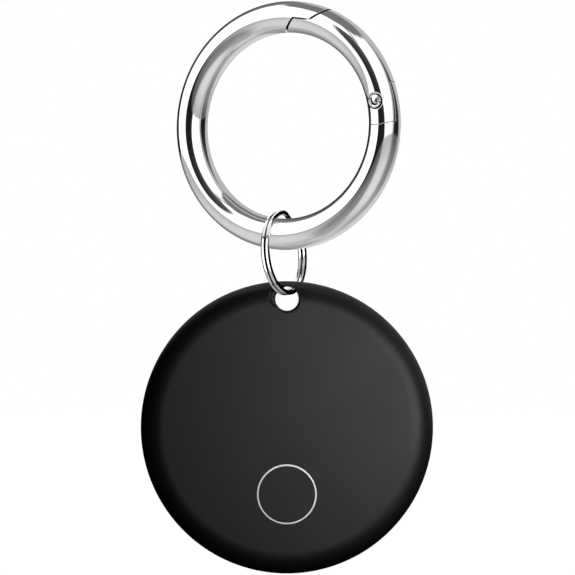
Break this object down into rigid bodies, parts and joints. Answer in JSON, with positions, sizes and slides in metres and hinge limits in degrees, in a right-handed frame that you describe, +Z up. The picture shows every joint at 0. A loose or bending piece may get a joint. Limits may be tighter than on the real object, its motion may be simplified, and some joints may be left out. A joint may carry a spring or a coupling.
{
  "type": "bluetooth tracker tag",
  "caption": "Round black tracker tag with a press button, hung by a split ring from a chromed spring-gate carabiner ring; battery cover, cell, board and buzzer inside.",
  "frame": {"origin": "hang point: the inside surface of the carabiner ring at its top, where a hook or strap bears", "axes": "+Z up along the hanging part, -Y out of the tag's front face, +X to the right seen from the front"},
  "size_m": [0.039, 0.0176, 0.0763],
  "materials": {
    "ring_chrome": "polished plating",
    "pin_steel": "polished, peened",
    "spring_steel": "drawn wire",
    "split_ring_steel": "polished nickel",
    "cover_black": "fine satin texture",
    "trim_silver": "satin",
    "seal_rubber": "matte",
    "board_green": "solder mask",
    "chip_black": "moulded epoxy",
    "crystal_can": "plated can",
    "antenna_ceramic": "sintered ceramic",
    "passive_tan": "sintered ceramic",
    "pad_gold": "gold plated",
    "cell_steel": "brushed",
    "gasket_plastic": "matte",
    "holder_plastic": "moulded",
    "buzzer_brass": "rolled sheet",
    "buzzer_ceramic": "silvered ceramic"
  },
  "bodies": {
    "carabiner": {"ring_body": "ring_chrome"},
    "gate": {"ring_gate": "ring_chrome", "gate_pin": "pin_steel", "gate_spring": "spring_steel"},
    "plunger": {"gate_plunger": "pin_steel"},
    "split_ring": {"split_ring": "split_ring_steel"},
    "tag": {"front_cover": "cover_black", "circuit_board": "board_green", "radio_chip": "chip_black", "crystals": "crystal_can", "chip_antenna": "antenna_ceramic", "passives": "passive_tan", "test_pads": "pad_gold", "cell_can": "cell_steel", "cell_gasket": "gasket_plastic", "cell_cap": "cell_steel", "cell_holder": "holder_plastic", "positive_clip": "spring_steel", "negative_spring": "spring_steel", "buzzer_plate": "buzzer_brass", "buzzer_ceramic": "buzzer_ceramic", "buzzer_springs": "pad_gold", "switch_base": "chip_black", "switch_frame": "crystal_can"},
    "button": {"button_cap": "cover_black", "button_trim": "trim_silver", "switch_plunger": "holder_plastic"},
    "rear_cover": {"rear_cover": "cover_black", "seal_ring": "seal_rubber"}
  },
  "joints": [
    {"name": "gate_hinge", "type": "hinge", "parent": "carabiner", "child": "gate", "pos_m": [0.0124, -0.00645, -0.00963], "axis": [-0.4617, -0.887, 0], "range_deg": [0, 28], "stiffness_Nm_per_rad": 0.045, "springref_deg": -20.05, "deforming": ["gate_spring"]},
    {"name": "gate_plunger_slide", "type": "slide", "parent": "gate", "child": "plunger", "axis": [-0.1723, 0.0897, 0.981], "range_m": [0, 0.00046]},
    {"name": "split_ring_swing", "type": "hinge", "parent": "carabiner", "child": "split_ring", "pos_m": [0, 0, -0.0269], "axis": [0.887, -0.4617, 0], "range_deg": [-80, 80]},
    {"name": "tag_swing", "type": "hinge", "parent": "split_ring", "child": "tag", "pos_m": [0, -0.0015, -0.0356], "axis": [0, 1, 0], "range_deg": [-30, 30]},
    {"name": "button_press", "type": "slide", "parent": "tag", "child": "button", "axis": [0, 1, 0], "range_m": [0, 0.0002], "stiffness_N_per_m": 6400},
    {"name": "rear_cover_pull", "type": "slide", "parent": "tag", "child": "rear_cover", "axis": [0, 1, 0], "range_m": [0, 0.012]}
  ],
  "couplings": [
    {"joint": "gate_plunger_slide", "follows": "gate_hinge", "m_per_rad": 0.00092}
  ]
}
